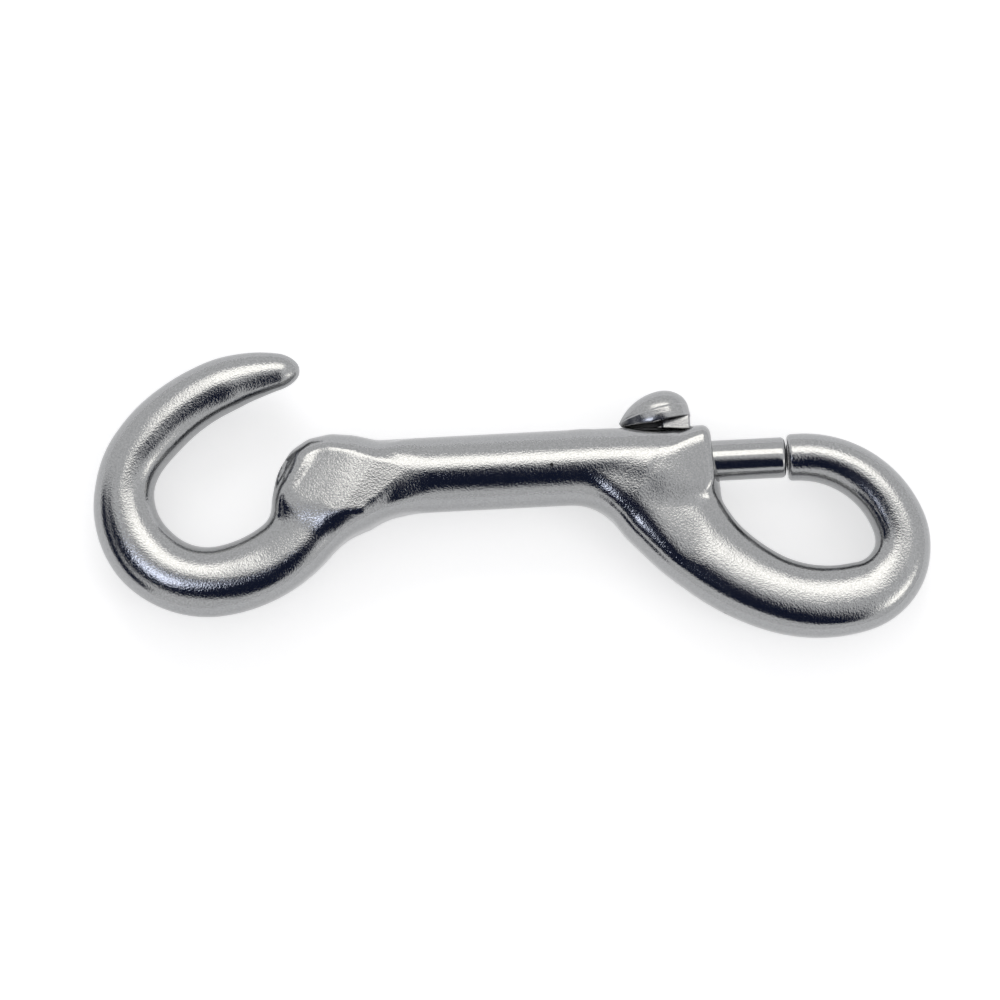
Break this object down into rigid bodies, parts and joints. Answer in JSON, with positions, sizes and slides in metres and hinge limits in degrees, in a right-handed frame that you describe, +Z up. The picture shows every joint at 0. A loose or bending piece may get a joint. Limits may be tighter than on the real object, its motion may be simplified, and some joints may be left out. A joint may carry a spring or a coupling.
{
  "type": "bolt snap",
  "caption": "Cast metal bolt snap: an open hook at one end of a barrel, a loop closed by a spring-loaded sliding bolt with a thumb knob at the other.",
  "frame": {"origin": "middle of the outer box, on the surface that the snap lies on", "axes": "+X from the open hook to the loop, along the barrel; +Y towards the thumb knob; +Z up, square to the casting's parting plane"},
  "size_m": [0.1099, 0.0419, 0.01],
  "materials": {
    "casting": "plated casting, fine satin grain",
    "bolt_steel": "plated, smooth",
    "knob": "plated casting, satin",
    "spring_wire": "bright drawn wire"
  },
  "bodies": {
    "frame": {"body": "casting", "spring": "spring_wire"},
    "slider": {"bolt": "bolt_steel", "thumb_knob": "knob"}
  },
  "joints": [
    {"name": "bolt_slide", "type": "slide", "parent": "frame", "child": "slider", "axis": [-1, 0, 0], "range_m": [0, 0.01], "stiffness_N_per_m": 900, "springref_m": -0.0045, "deforming": ["spring"]}
  ]
}
